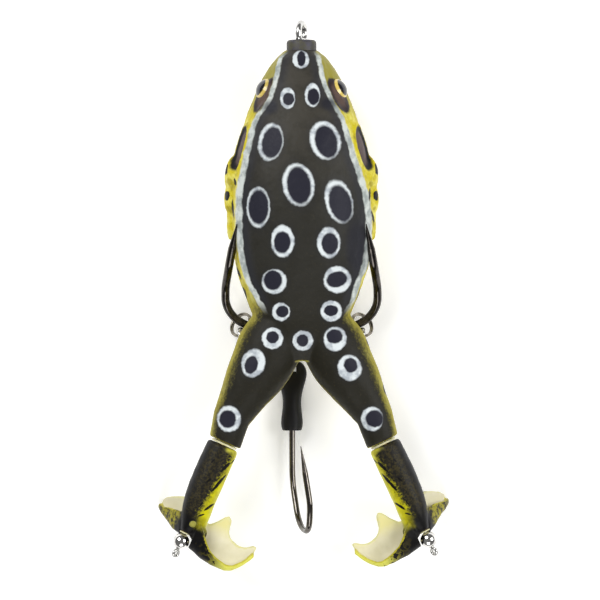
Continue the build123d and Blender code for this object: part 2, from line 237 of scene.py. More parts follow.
def metal(name, colour, rough, grain=0.1, tarnish=None):
    """Polished or satin metal with faint drawing marks and a little uneven tarnish."""
    paint = Paint(name, metallic=1.0)
    place = paint.place()
    cloud = paint.noise(place, 0.9, 4.0, 0.6)
    fine = paint.noise(place, 9.0, 3.0, 0.6)
    dull = tarnish or tuple(channel * 0.7 for channel in colour[:3]) + (1.0,)
    paint.set("Base Color", paint.mix(paint.step(cloud, 0.35, 0.75), colour, dull))
    spread = paint.times(paint.minus(cloud, 0.5), grain)
    paint.set("Roughness", paint.plus(spread, rough))
    paint.set("Normal", paint.bump(fine, 0.006))
    return paint.material


def moulded(name, colour, shade, rough):
    """Moulded plastic, resin or rubber: slight colour clouds and a fine moulded texture."""
    paint = Paint(name)
    place = paint.place()
    cloud = paint.noise(place, 0.8, 4.0, 0.6)
    fine = paint.noise(place, 7.0, 3.0, 0.6)
    paint.set("Base Color", paint.mix(paint.step(cloud, 0.3, 0.7), colour, shade))
    paint.set("Roughness", paint.plus(paint.times(fine, 0.15), rough - 0.07))
    paint.set("Normal", paint.bump(fine, 0.012))
    paint.set("Specular IOR Level", 0.3)
    return paint.material


# ---- Mesh helpers ----
def angles(count):
    """Angles evenly spaced round a circle."""
    return [2 * math.pi * index / count for index in range(count)]


def ring_about(centre, across, upward, half_width, half_height, count):
    """A ring of points round a centre, in the plane of two unit vectors."""
    return [
        centre
        + across * (half_width * math.cos(angle))
        + upward * (half_height * math.sin(angle))
        for angle in angles(count)
    ]


def tube(mesh, rings, hoop=False):
    """Adds a skin over rings of equally many points: a tube with closed ends, or a hoop."""
    rows = [[mesh.verts.new(point * MM) for point in ring] for ring in rings]
    count = len(rows[0])
    following = rows[1:] + rows[:1] if hoop else rows[1:]
    for near, far in zip(rows, following):
        for index in range(count):
            after = (index + 1) % count
            mesh.faces.new((near[index], near[after], far[after], far[index]))
    if not hoop:
        mesh.faces.new(list(reversed(rows[0])))
        mesh.faces.new(rows[-1])


BLOB_SEGMENTS = (28, 14)


def blob(mesh, centre, radii):
    """Adds a closed ellipsoid."""
    placed = Matrix.Translation(Vector(centre) * MM)
    size = Matrix.Diagonal((radii[0] * MM, radii[1] * MM, radii[2] * MM, 1.0))
    around, along = BLOB_SEGMENTS
    bmesh.ops.create_uvsphere(
        mesh, u_segments=around, v_segments=along, radius=1.0, matrix=placed @ size
    )


def add_object(name, data):
    made = bpy.data.objects.new(name, data)
    bpy.context.scene.collection.objects.link(made)
    return made


def piece(name, mesh, body, material):
    """Turns mesh data into a piece that rides on a body."""
    bmesh.ops.recalc_face_normals(mesh, faces=mesh.faces)
    data = bpy.data.meshes.new(name)
    mesh.to_mesh(data)
    mesh.free()
    made = add_object(name, data)
    data.materials.append(material)
    data.polygons.foreach_set("use_smooth", [True] * len(data.polygons))
    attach(made, body)
    return made


def settle(made, voxel, smooth_steps):
    """Fuses the overlapping closed shells of a piece into one even skin."""
    fuse = made.modifiers.new("fuse", "REMESH")
    fuse.mode = "VOXEL"
    fuse.voxel_size = voxel * MM
    even = made.modifiers.new("even", "SMOOTH")
    even.factor = 0.5
    even.iterations = smooth_steps
    graph = bpy.context.evaluated_depsgraph_get()
    fused = bpy.data.meshes.new_from_object(made.evaluated_get(graph))
    made.modifiers.clear()
    old = made.data
    materials = list(old.materials)
    made.data = fused
    fused.materials.clear()
    for material in materials:
        fused.materials.append(material)
    bpy.data.meshes.remove(old)
    fused.polygons.foreach_set("use_smooth", [True] * len(fused.polygons))


def carve(made, shift):
    """Moves each vertex along its normal by shift(point in mm), in millimetres."""
    mesh = made.data
    moves = [shift(v.co / MM) for v in mesh.vertices]
    normals = [v.normal.copy() for v in mesh.vertices]
    for vertex, normal, move in zip(mesh.vertices, normals, moves):
        vertex.co += normal * move * MM
    mesh.update()


def hump(distance, shape):
    """A smooth hump, or a dip if its height is negative."""
    height, middle, width = shape
    return height * math.exp(-((distance - middle) / width) ** 2)


def between(value, points):
    """Straight-line interpolation in a table of (input, output) pairs."""
    ordered = sorted(points)
    if value <= ordered[0][0]:
        return ordered[0][1]
    for (x0, y0), (x1, y1) in zip(ordered, ordered[1:]):
        if value <= x1:
            return y0 + (y1 - y0) * (value - x0) / (x1 - x0)
    return ordered[-1][1]


# ---- Frog body ----
NOSE_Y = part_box("body_skin")[1].y / MM
CROTCH_Y = -54.6
BODY_VOXEL = 0.27  # grid of the remesh that fuses the body
BODY_SMOOTHING = 4

# Torso stations: place along Y, half width, top of the back, underside of the belly
TORSO = [
    (NOSE_Y, 2.6, 2.3, -2.1),
    (-4.2, 4.1, 3.6, -3.0),
    (-6.0, 5.45, 4.75, -3.9),
    (-8.5, 6.85, 5.9, -5.0),
    (-12.0, 8.35, 7.2, -6.4),
    (-16.0, 9.8, 8.3, -7.5),
    (-20.0, 11.0, 8.9, -8.4),
    (-25.0, 11.6, 9.25, -9.0),
    (-31.0, 11.65, 9.1, -9.15),
    (-36.0, 11.35, 8.5, -8.8),
    (-40.0, 10.65, 7.7, -8.0),
    (-43.5, 9.45, 6.8, -6.9),
    (-47.0, 8.1, 5.7, -5.5),
    (-51.0, 6.0, 4.7, -4.3),
    (CROTCH_Y, 2.6, 3.1, -2.9),
]
TORSO_SQUARENESS = 2.25  # 2 is an ellipse; more is boxier
TORSO_POINTS = 64

# Thigh stations: distance from the hip, outward shift of the middle, half width, half height
HIP = (5.3, -48.0)
THIGH_MID_Z = 0.4
THIGH = [
    (-3.0, -1.6, 3.4, 3.9),
    (0.5, -1.5, 4.6, 4.4),
    (3.5, -1.45, 5.35, 4.6),
    (7.0, -1.3, 5.25, 4.6),
    (10.0, -0.9, 4.85, 4.4),
    (14.0, -0.2, 3.85, 3.75),
    (17.5, 0.4, 3.1, 3.15),
]
THIGH_POINTS = 48
KNEE_HALF_WIDTH = 2.8
KNEE_FACE_BACK = 0.05  # the skin ends just short of the plug's face

# The folded front limb on each flank: centre (outward, along Y, up) and radii of its lobes
LIMB_LOBES = [
    ((10.6, -23.9, -0.6), (2.25, 3.7, 3.6)),
    ((10.9, -27.6, -1.0), (2.0, 3.6, 3.1)),
    ((10.9, -30.6, -1.4), (1.55, 2.9, 2.3)),
]
FINGERS = [
    ((11.65, -32.6, 0.0), (0.6, 2.1, 0.6)),
    ((11.9, -32.4, -1.3), (0.6, 2.2, 0.6)),
    ((11.6, -32.1, -2.6), (0.6, 2.1, 0.6)),
]

# The raised pale fold down each side of the back: places (Y, X) from the nose to the hip
FOLD = {
    "left": [
        (-3.2, -2.6), (-4.0, -3.3), (-7.6, -4.2), (-11.5, -5.4), (-14.8, -7.6), (-18.5, -8.6),
        (-22.6, -9.5), (-26.3, -10.25), (-31.5, -10.35), (-36.3, -10.05), (-40.6, -9.1),
        (-43.8, -7.5), (-46.2, -6.2),
    ],
    "right": [
        (-3.2, 2.4), (-4.6, 2.9), (-7.6, 3.5), (-10.6, 4.55), (-14.0, 6.5), (-17.0, 7.5),
        (-21.2, 8.7), (-24.5, 9.9), (-28.0, 10.8), (-32.3, 11.2), (-35.3, 11.05),
        (-39.1, 10.4), (-41.6, 9.35), (-44.1, 8.6), (-46.2, 7.6),
    ],
}
FOLD_FRONT, FOLD_REAR = -3.4, -46.5  # the fold's ends along Y
FOLD_LOWEST = 0.5  # nothing of it is below this height
# Humps: height, middle, width. The groove is on the fold's flank side.
FOLD_RIDGE = (0.32, 0.0, 0.75)
FOLD_GROOVE = (-0.16, 1.35, 0.6)

# Ear disc on each side: centre (outward, Y, up), half length along Y, half height
EAR = ((10.0, -19.3, 2.9), 3.5, 2.1)
EAR_DISH = (-0.3, 0.8, 0.16)
EAR_RIM = (0.22, 1.12, 0.14)
EAR_PAINT_DEPTH = 4.0  # half depth across the body of the disc's paint

# Mouth line: its corner and front along Y; its height at MOUTH_AT; its fall for each mm forward
MOUTH_CORNER, MOUTH_FRONT = -16.0, -2.0
MOUTH_HEIGHT, MOUTH_AT, MOUTH_FALL = -0.9, -3.0, 0.042
MOUTH_CUT = (-0.38, 0.0, 0.28)
MOUTH_LIP = (0.12, 0.75, 0.4)
LIMB_CREASE = (-0.16, 0.0, 0.22)

# The way a pupil looks on the right side: out, forward and a little up
EYE_LOOK = (0.84, 0.42, 0.34)
# Eyelid: its radius; how far out of the eye and how wide round it, over the eye's radius
LID_RADIUS, LID_OUT, LID_SPREAD = 0.48, 0.42, 0.95
LID_STEPS, LID_POINTS = 40, 12


def torso_ring(y, half_width, top, bottom):
    """One boxy ellipse of the torso, with its widest place between back and belly."""
    middle, half_height = (top + bottom) / 2, (top - bottom) / 2
    power = 2 / TORSO_SQUARENESS
    points = []
    for angle in angles(TORSO_POINTS):
        reach_x, reach_z = math.cos(angle), math.sin(angle)
        points.append(Vector((
            half_width * math.copysign(abs(reach_x) ** power, reach_x),
            y,
            middle + half_height * math.copysign(abs(reach_z) ** power, reach_z),
        )))
    return points


def smooth_stations(table, steps=5):
    """More stations between those given, on a smooth Catmull-Rom curve."""
    made = []
    for index in range(len(table) - 1):
        before = table[max(index - 1, 0)]
        start, end = table[index], table[index + 1]
        after = table[min(index + 2, len(table) - 1)]
        for step in range(steps):
            t = step / steps
            made.append(tuple(
                0.5 * (
                    2 * b + (c - a) * t + (2 * a - 5 * b + 4 * c - d) * t ** 2
                    + (3 * b - a - 3 * c + d) * t ** 3
                )
                for a, b, c, d in zip(before, start, end, after)
            ))
    made.append(table[-1])
    return made


def thigh_rings(side):
    """Rings of one thigh, from inside the torso to the flat knee end."""
    sign = SIDES[side]
    hip = Vector((sign * HIP[0], HIP[1], THIGH_MID_Z))
    knee = KNEE[side] - ALONG[side] * KNEE_FACE_BACK
    along = (knee - hip).normalized()
    outward = Vector((sign * -along.y, sign * along.x, 0))
    rings = []
    for distance, shift, half_width, half_height in smooth_stations(THIGH, 4):
        centre = hip + along * distance + outward * shift
        rings.append(ring_about(centre, outward, UP, half_width, half_height, THIGH_POINTS))
    width = KNEE_HALF_WIDTH
    rings.append(ring_about(knee, -INWARD[side], UP, width, width, THIGH_POINTS))
    return rings


def body_relief(point):
    """Height in mm of the sculpted detail over the plain lofted body."""
    side = "left" if point.x < 0 else "right"
    outward = abs(point.x)
    height = 0.0
    if point.z > FOLD_LOWEST and FOLD_REAR < point.y < FOLD_FRONT:
        ends = min(1.0, (FOLD_FRONT - point.y) / 1.5, (point.y - FOLD_REAR) / 3.0)
        wobble = 0.25 * noise.noise(Vector((point.x * 0.8, point.y * 0.8, 3.0)))
        away = SIDES[side] * (point.x - between(point.y, FOLD[side])) + wobble
        height += ends * (hump(away, FOLD_RIDGE) + hump(away, FOLD_GROOVE))
    (_, ear_y, ear_z), ear_long, ear_high = EAR
    if abs(point.y - ear_y) < 6 and outward > 6:
        reach = math.hypot((point.y - ear_y) / ear_long, (point.z - ear_z) / ear_high)
        height += hump(max(reach, EAR_DISH[1]), EAR_DISH) + hump(reach, EAR_RIM)
    if MOUTH_CORNER < point.y < MOUTH_FRONT and outward > 1.5:
        above = point.z - MOUTH_HEIGHT + MOUTH_FALL * (point.y - MOUTH_AT)
        fade = min(1.0, (point.y - MOUTH_CORNER) / 2.5)
        height += fade * (hump(above, MOUTH_CUT) + hump(above, MOUTH_LIP))
    creases = noise.noise(Vector((point.x * 0.55, point.y * 0.3, point.z * 0.55)))
    grain = noise.noise(Vector((point.x * 1.7, point.y * 1.7, point.z * 1.7 + 9.0)))
    height += 0.07 * creases + 0.035 * grain
    if outward > 9.5 and -35 < point.y < -20 and point.z < 3:
        height += hump(math.sin(point.y * 0.9 + point.z * 1.4), LIMB_CREASE)
    return height


def eye_place(side):
    """An eye's middle and radius."""
    low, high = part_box(side + "_eye")
    return (low + high) / 2 / MM, (high.z - low.z) / 2 / MM


def eyelid_rings(side):
    """The raised lid round an eye, a closed loop of small circles."""
    centre, radius = eye_place(side)
    axis = eye_axis(side)
    across = axis.cross(UP).normalized()
    upward = across.cross(axis).normalized()
    rings = []
    for turn in angles(LID_STEPS):
        spoke = across * math.cos(turn) + upward * math.sin(turn)
        middle = centre + axis * (radius * LID_OUT) + spoke * (radius * LID_SPREAD)
        rings.append([
            middle + (spoke * math.cos(angle) + axis * math.sin(angle)) * LID_RADIUS
            for angle in angles(LID_POINTS)
        ])
    return rings


def eye_axis(side):
    """The way a pupil looks."""
    out, forward, up = EYE_LOOK
    return Vector((SIDES[side] * out, forward, up)).normalized()


def frog_body():
    """The one-piece vinyl body with thighs, folded front limbs, eyelids, ears and skin folds."""
    mesh = bmesh.new()
    tube(mesh, [torso_ring(*station) for station in smooth_stations(TORSO)])
    for side, sign in SIDES.items():
        tube(mesh, thigh_rings(side))
        for (out, along_y, up), radii in LIMB_LOBES + FINGERS:
            blob(mesh, (sign * out, along_y, up), radii)
        tube(mesh, eyelid_rings(side), hoop=True)
    made = piece("frog_body", mesh, "lure_body", body_paint())
    settle(made, BODY_VOXEL, BODY_SMOOTHING)
    carve(made, body_relief)
    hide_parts("body_skin")


# ---- Body paint ----
BACK_HEAD = srgb(60, 57, 50)
BACK_MIDDLE = srgb(39, 38, 33)
BACK_REAR = srgb(29, 27, 18)
PALE_STRIPE = srgb(204, 210, 205)
STRIPE_SHADE = srgb(150, 158, 156)
SPOT_RING = srgb(214, 221, 223)
SPOT_SHADE = srgb(166, 173, 180)
SPOT_CORE = srgb(30, 30, 42)
FLANK = srgb(204, 188, 8)
FLANK_PALE = srgb(230, 222, 110)
FLANK_DARK = srgb(150, 134, 6)
SNOUT_SIDE = srgb(148, 140, 46)
HIP_OLIVE = srgb(134, 126, 30)
BELLY = srgb(228, 222, 190)
EAR_BROWN = srgb(84, 68, 66)
BACK_SPECKLE = srgb(68, 60, 40)
FOLD_SHADE = srgb(38, 40, 48)
SMUDGE = srgb(24, 25, 36)
SPOT_HALO = srgb(30, 31, 36)
PATCH_EDGE = srgb(40, 30, 34)
PATCH_MIDDLE = srgb(86, 68, 60)
BLACK = srgb(10, 9, 12)

# Spots: ring centre X, Y and half sizes; dark core centre X, Y and half sizes; lean in degrees
SPOTS = [
    ((-0.12, -4.58, 1.37, 1.53), (-0.02, -4.47, 0.63, 1.22), 0),
    ((-2.3, -11.17, 1.22, 1.75), (-2.15, -11.3, 0.85, 0.97), 0),
    ((1.82, -10.63, 1.25, 1.97), (1.95, -10.88, 0.9, 1.27), 0),
    ((-5.08, -18.45, 2.03, 3.08), (-4.83, -18.52, 1.52, 2.4), -10),
    ((3.88, -18.17, 2.48, 3.15), (4.08, -18.4, 1.65, 2.5), 15),
    ((-0.5, -25.5, 2.55, 3.48), (-0.42, -25.63, 1.78, 2.83), 10),
    ((-7.12, -29.17, 1.93, 3.3), (-7.07, -29.15, 1.52, 2.6), 0),
    ((6.17, -28.25, 2.22, 3.57), (6.43, -28.57, 1.67, 2.83), 15),
    ((-3.1, -34.8, 1.87, 2.6), (-3.17, -34.97, 1.25, 1.62), 0),
    ((4.48, -35.00, 1.88, 2.5), (4.68, -35.18, 1.25, 1.62), 0),
    ((-4.5, -41.43, 2.03, 2.02), (-4.72, -41.2, 1.37, 1.47), 0),
    ((5.93, -41.12, 2.23, 2.18), (5.82, -41.08, 1.58, 1.17), 15),
    ((-3.38, -46.42, 1.45, 1.48), (-3.18, -46.38, 0.98, 0.88), 0),
    ((4.93, -46.3, 1.75, 1.7), (4.87, -46.22, 1.07, 0.83), 0),
    ((-4.8, -50.83, 1.7, 1.75), (-4.8, -50.62, 0.95, 0.9), 0),
    ((0.23, -51.2, 1.67, 1.63), (0.17, -51.18, 0.88, 0.93), 0),
    ((5.57, -50.93, 1.87, 1.97), (5.48, -50.5, 1.23, 1.07), 0),
    ((-7.98, -54.92, 1.92, 2.33), (-8.33, -55.22, 0.98, 1.37), -15),
    ((7.95, -55.7, 1.95, 2.1), (8.12, -55.28, 1.02, 1.12), 15),
    ((-12.03, -64.17, 1.95, 2.13), (-12.25, -64.22, 1.27, 1.33), 0),
    ((11.7, -64.18, 1.78, 2.00), (12.1, -64.17, 1.33, 1.28), 0),
]

# Soft dark smudges on the back: centre X, Y and half sizes
SMUDGES = [(-5.1, -12.6, 1.3, 1.1), (4.3, -12.1, 1.4, 1.0), (9.0, -35.5, 1.6, 4.5)]

# The brown patch round each eye: centre (outward, Y) and half sizes; lean in degrees
EYE_PATCH = ((6.15, -10.6, 1.15, 3.3), 28)

# Black dashes on the flanks: centre (outward, Y, up) and radii
DASHES = [
    ((12.6, -22.6, 0.8), (0.55, 1.05, 1.3)),
    ((12.5, -27.1, 0.9), (0.6, 0.85, 1.5)),
    ((9.6, -43.4, 0.5), (0.7, 1.1, 1.6)),
    ((11.3, -51.0, 0.6), (0.6, 1.2, 1.4)),
    ((14.0, -59.2, 0.6), (0.6, 1.1, 1.4)),
    ((12.6, -24.8, -2.6), (0.9, 1.6, 0.8)),
    ((12.4, -29.5, -2.8), (0.9, 1.3, 0.7)),
    ((11.4, -38.0, -1.8), (1.2, 1.4, 1.6)),
    ((9.4, -13.5, -2.6), (1.6, 1.2, 0.7)),
    ((10.4, -17.8, -3.0), (1.6, 1.5, 0.8)),
]

# Thin black marks along the flanks' upper edge: centre X, Y and half sizes; lean in degrees
FLANK_MARKS = [
    ((-11.4, -29.2, 0.17, 1.3), 4),
    ((-11.00, -24.9, 0.2, 0.6), 10),
    ((-10.45, -40.0, 0.17, 1.05), 22),
    ((11.3, -27.0, 0.18, 1.05), -4),
    ((11.85, -30.6, 0.2, 0.95), 14),
]


def body_paint():
    """Airbrushed dark back with ringed spots, pale folds, yellow flanks and a cream belly."""
    paint = Paint("painted_vinyl", roughness=0.5)
    place = paint.place()
    soft = paint.warped(place, 0.55, 0.9)
    crisp = paint.warped(place, 1.6, 0.3)
    y = paint.split(soft)[1]
    crisp_x, crisp_y, crisp_z = paint.split(crisp)
    flat = paint.point(crisp_x, crisp_y)
    sideways, _, up = paint.split(paint.facing())
    cloud = paint.noise(place, 0.35, 4.0, 0.6)
    speckle = paint.noise(place, 2.6, 3.0, 0.65)

    true_x, true_y, true_z = paint.split(place)
    outward = paint.size_of(crisp_x)
    mirrored = paint.point(outward, crisp_y, crisp_z)

    # The back: dark between the folds, lighter on the head, darkest at the hips
    rear = paint.step(y, -8.0, -34.0)
    back = paint.mix(rear, BACK_HEAD, BACK_MIDDLE)
    back = paint.mix(paint.step(y, -36.0, -50.0), back, BACK_REAR)
    back = paint.mix(paint.times(paint.step(cloud, 0.45, 0.72), 0.45), back, BACK_REAR)
    back = paint.mix(paint.times(paint.step(speckle, 0.55, 0.75), 0.25), back, BACK_SPECKLE)

    # Flanks: yellow with pale patches, olive on the snout, cream under the belly
    side = paint.mix(paint.step(cloud, 0.42, 0.66), FLANK, FLANK_PALE)
    shadowy = paint.noise(place, 0.42, 3.0, 0.55)
    side = paint.mix(paint.times(paint.step(shadowy, 0.52, 0.66), 0.75), side, FLANK_DARK)
    side = paint.mix(paint.times(paint.step(speckle, 0.5, 0.8), 0.3), side, HIP_OLIVE)
    side = paint.mix(paint.step(y, -15.5, -9.0), side, SNOUT_SIDE)
    side = paint.mix(paint.times(paint.step(y, -39.5, -46.0), 0.75), side, HIP_OLIVE)
    side = paint.mix(paint.step(up, -0.15, -0.65), side, BELLY)

    folds = {}
    for name, sign in SIDES.items():
        line = paint.curve(y, FOLD[name], -60.0, 20.0)
        folds[name] = paint.times(paint.minus(true_x, line), sign)
    beyond = paint.larger(folds["left"], folds["right"])
    upper = paint.step(true_z, 0.2, 1.0)
    inside = paint.times(paint.step(beyond, 0.25, -0.25), upper)
    lit_edge = paint.plus(up, paint.times(speckle, 0.42))
    inner_face = paint.times(sideways, paint.math("SIGN", true_x))
    inner_face = paint.larger(paint.times(inner_face, -0.55), 0.0)
    lit_edge = paint.plus(lit_edge, inner_face)
    thigh_top = paint.both((lit_edge, 0.52, 1.02), (y, -42.5, -45.5))
    hip_blend = paint.step(y, -54.0, -49.0)
    dark = paint.larger(paint.times(inside, hip_blend), thigh_top)
    paint.colour = paint.mix(dark, side, back)

    # Dark shade just inside each fold, then the pale fold itself
    fold_run = paint.both((true_y, -47.0, -44.0), (true_y, -3.0, -4.4))
    fold_run = paint.times(fold_run, upper)
    offset = paint.size_of(beyond)
    shade = paint.both((beyond, -2.4, -0.9), (beyond, -0.4, -0.7))
    shade = paint.times(paint.times(shade, fold_run), 0.55)
    paint.over(shade, FOLD_SHADE)
    brushed = paint.noise(place, 0.75, 2.0, 0.5)
    ragged = paint.plus(offset, paint.times(brushed, 0.6))
    widest = paint.step(paint.size_of(paint.plus(true_y, 29.0)), 18.0, 5.0)
    ragged = paint.minus(ragged, paint.times(widest, 0.16))
    pale = paint.times(paint.step(ragged, 0.84, 0.54), fold_run)
    streaks = paint.noise(place, 0.55, 3.0, 0.6)
    chalky = paint.mix(paint.step(streaks, 0.4, 0.66), PALE_STRIPE, STRIPE_SHADE)
    paint.over(pale, chalky)

    facing_up = paint.step(up, 0.05, 0.2)

    # Dark smudges behind the eyes, and ringed spots on the back and thighs
    smudge = paint.least(paint.oval(flat, blot) for blot in SMUDGES)
    smudge = paint.times(paint.step(smudge, 1.5, 0.5), facing_up)
    paint.over(paint.times(smudge, 0.75), SMUDGE)
    rings = paint.least(paint.oval(flat, ring, lean) for ring, _, lean in SPOTS)
    cores = paint.least(paint.oval(flat, core, lean) for _, core, lean in SPOTS)
    halo = paint.times(paint.step(rings, 1.55, 1.0), 0.3)
    paint.over(paint.times(halo, facing_up), SPOT_HALO)
    uneven = paint.plus(rings, paint.times(brushed, 0.12))
    ring = paint.times(paint.step(uneven, 1.15, 0.98), facing_up)
    chalk = paint.mix(paint.step(streaks, 0.42, 0.66), SPOT_RING, SPOT_SHADE)
    paint.over(ring, chalk)
    core = paint.times(paint.step(cores, 1.24, 0.98), facing_up)
    paint.over(core, SPOT_CORE)

    # Ear disc with a dark edge, and the brown patch round each eye
    ear_centre, ear_long, ear_high = EAR
    ear_reach = paint.reach(mirrored, ear_centre, (EAR_PAINT_DEPTH, ear_long, ear_high))
    paint.over(paint.step(ear_reach, 1.16, 1.02), BLACK)
    paint.over(paint.step(ear_reach, 0.95, 0.72), EAR_BROWN)

    patch = paint.oval(paint.point(outward, crisp_y), *EYE_PATCH)
    over_eye = paint.both((patch, 1.08, 0.9), (true_z, 2.0, 2.8))
    brown = paint.mix(paint.step(patch, 0.85, 0.4), PATCH_EDGE, PATCH_MIDDLE)
    not_fold = paint.minus(1.0, pale)
    paint.over(paint.times(over_eye, not_fold), brown)

    # Black dashes on the flanks
    dashes = paint.least(paint.reach(mirrored, *dash) for dash in DASHES)
    dashes = paint.step(dashes, 1.08, 0.92)
    paint.over(dashes, BLACK)
    ticks = paint.least(paint.oval(flat, *mark) for mark in FLANK_MARKS)
    ticks = paint.both((ticks, 1.3, 0.85), (true_z, -0.8, -0.2))
    paint.over(ticks, BLACK)

    paint.set("Base Color", paint.colour)
    paint.set("Roughness", paint.plus(paint.times(speckle, 0.22), 0.42))
    pores = paint.noise(place, 6.0, 2.0, 0.5)
    relief = paint.bump(pores, 0.02, 0.6)
    paint.set("Normal", paint.bump(cloud, 0.1, 0.5, relief))
    paint.set("Specular IOR Level", 0.22)
    return paint.material


# ---- Eyes ----
EYE_GOLD = srgb(236, 214, 120)
EYE_GOLD_SHADE = srgb(206, 176, 84)
EYE_RIM = srgb(58, 42, 40)
PUPIL = srgb(14, 13, 22)


def eye_paint(side):
    """A glossy domed eye: dark pupil, gold ring and brown rim, set round the way it looks."""
    centre = eye_place(side)[0]
    paint = Paint(side + "_eye_resin", roughness=0.12)
    place = paint.place()
    spoke = paint.vector("NORMALIZE", paint.vector("SUBTRACT", place, tuple(centre)))
    mottled = paint.noise(place, 3.5, 3.0, 0.6)
    facing = paint.dot(spoke, eye_axis(side))
    facing = paint.plus(facing, paint.times(mottled, 0.05))
    gold = paint.mix(mottled, EYE_GOLD, EYE_GOLD_SHADE)
    paint.colour = paint.mix(paint.step(facing, 0.46, 0.54), EYE_RIM, gold)
    paint.over(paint.step(facing, 0.74, 0.79), PUPIL)
    paint.set("Base Color", paint.colour)
    paint.set("Coat Weight", 0.45)
    paint.set("Coat Roughness", 0.12)
    paint.set("Normal", paint.bump(mottled, 0.01))
    return paint.material


# ---- Propeller legs ----
# Calf stations along the shaft: distance, inner reach, outer reach, half height
CALF = [
    (0.55, 2.35, 2.5, 2.42),
    (0.75, 2.52, 2.66, 2.6),
    (1.3, 2.64, 2.78, 2.7),
    (4.0, 2.66, 2.84, 2.74),
    (7.0, 2.68, 2.82, 2.72),
    (10.0, 2.66, 2.62, 2.6),
    (12.0, 2.75, 2.3, 2.4),
    (13.6, 2.8, 1.85, 2.15),
    (15.0, 2.75, 1.3, 1.8),
    (16.0, 2.35, 0.95, 1.35),
    (16.28, 1.9, 0.8, 1.0),
]

# Inner web, by distance inward from the shaft: (inward, value) tables in leg coordinates
INNER_WEB = {
    "reach": (1.5, 11.9),
    "front": [(1.5, 13.6), (3.26, 13.5), (4.4, 12.4), (5.15, 11.3), (5.75, 10.95), (6.3, 11.5)],
    "gap": (9.15, 12.15, 2.75),
    "tip": [(10.9, 14.25), (11.5, 13.85), (11.9, 14.1)],
    "rear": [(1.75, 18.55), (4.06, 19.3), (6.0, 19.6), (8.4, 19.6), (9.4, 19.2), (10.4, 18.2),
             (11.3, 16.9), (11.9, 15.7)],
    "rim": [(1.75, 13.9), (3.08, 15.2), (4.93, 17.3), (6.87, 18.45), (8.59, 19.1),
            (9.6, 18.8), (10.6, 17.8), (11.9, 15.5)],
    "floor": [(1.75, -1.7), (4.0, -2.2), (7.0, -2.3), (10.0, -1.9), (11.9, -1.2)],
    "lip": [(1.75, -1.2), (5.75, -0.7), (8.0, -1.7), (11.9, -0.9)],
    "height": [(1.75, 2.1), (4.0, 2.3), (7.0, 1.8), (9.0, 0.9), (10.5, 0.0), (11.9, -0.6)],
    "drop": 0.0,
    "turn": 1,
    "border": 0.42,
}
OUTER_WEB = {
    "reach": (0.6, 10.6),
    "front": [(0.6, 12.2), (2.6, 11.3), (5.0, 11.2), (7.6, 11.9), (9.6, 12.6), (10.6, 13.3)],
    "gap": None,
    "tip": [],
    "rear": [(0.6, 17.1), (3.8, 16.9), (6.4, 16.1), (9.0, 15.5), (10.6, 15.0)],
    "rim": [(0.6, 13.4), (3.0, 13.5), (5.75, 13.95), (8.1, 14.6), (10.0, 14.7), (10.6, 14.5)],
    "floor": [(0.6, -1.0), (4.0, -1.4), (8.0, -1.1), (10.6, -0.4)],
    "lip": [(0.6, -0.2), (5.0, 0.1), (8.2, 0.1), (10.6, 0.0)],
    "height": [(0.6, 1.2), (4.0, 1.15), (8.0, 0.95), (10.0, 0.5), (10.6, 0.1)],
    "drop": 58.0,
    "turn": -1,
    "border": 0.28,
}
WEB_HALF_THICKNESS = 0.34
FOOT_SHORTER = {"left": 0.0, "right": 0.6}  # how much closer to the knee the webs' tips are
DRAWN_UP_OVER = 4.0  # they are drawn up little by little over this width from the shaft
WEB_COLUMNS = 72
WEB_ROWS = 26
CALF_POINTS = 48
LEG_VOXEL = 0.19  # grid of the remesh that fuses a leg
LEG_SMOOTHING = 5
# How fast the paint's distance to a web's edge grows from the rim and from the outer end
RIM_GAIN, END_GAIN = 2.6, 5.0

ANKLE_NUB = (0.62, 14.5)  # leg coordinates: inward, along
NUB_UP = {"left": 1.9, "right": -1.9}
NUB_RADII = (0.55, 0.55, 0.5)
ANKLE_SWELL = (2.0, 15.6, 0.2)
ANKLE_SWELL_RADII = (1.5, 1.5, 1.7)


def web_front(web, inward):
    """Where the web's front edge is, with the scallop between its two toes."""
    if web["gap"] is not None:
        middle, along, radius = web["gap"]
        if inward >= web["tip"][0][0]:
            return between(inward, web["tip"])
        if inward > web["front"][-1][0]:
            depth = radius ** 2 - (inward - middle) ** 2
            return along + math.sqrt(max(depth, 0.0))
    return between(inward, web["front"])


def web_section(web, inward):
    """The web's middle line at one distance from the shaft: (along, up) from toe to rim."""
    front = web_front(web, inward)
    rear = between(inward, web["rear"])
    rim = max(between(inward, web["rim"]), front + 0.1)
    floor = between(inward, web["floor"])
    lip = between(inward, web["lip"])
    height = between(inward, web["height"])
    ends = [(front, lip), (rear + 0.4, floor - 0.5), (rear + 1.2, height * 0.75), (rim, height)]
    line = []
    for row in range(WEB_ROWS + 1):
        t = row / WEB_ROWS
        shares = ((1 - t) ** 3, 3 * t * (1 - t) ** 2, 3 * t * t * (1 - t), t ** 3)
        line.append(tuple(sum(s * p[k] for s, p in zip(shares, ends)) for k in range(2)))
    furthest = max(along for along, up in line)
    squeeze = (rear - WEB_HALF_THICKNESS - front) / (furthest - front)
    return [(front + (along - front) * squeeze, up) for along, up in line]


def dropped(web, inward, up):
    """Leg coordinates across the shaft after the web is turned down about it."""
    angle = math.radians(web["drop"])
    side_reach = inward * math.cos(angle) + up * math.sin(angle)
    lift = up * math.cos(angle) - inward * math.sin(angle)
    return web["turn"] * side_reach, lift


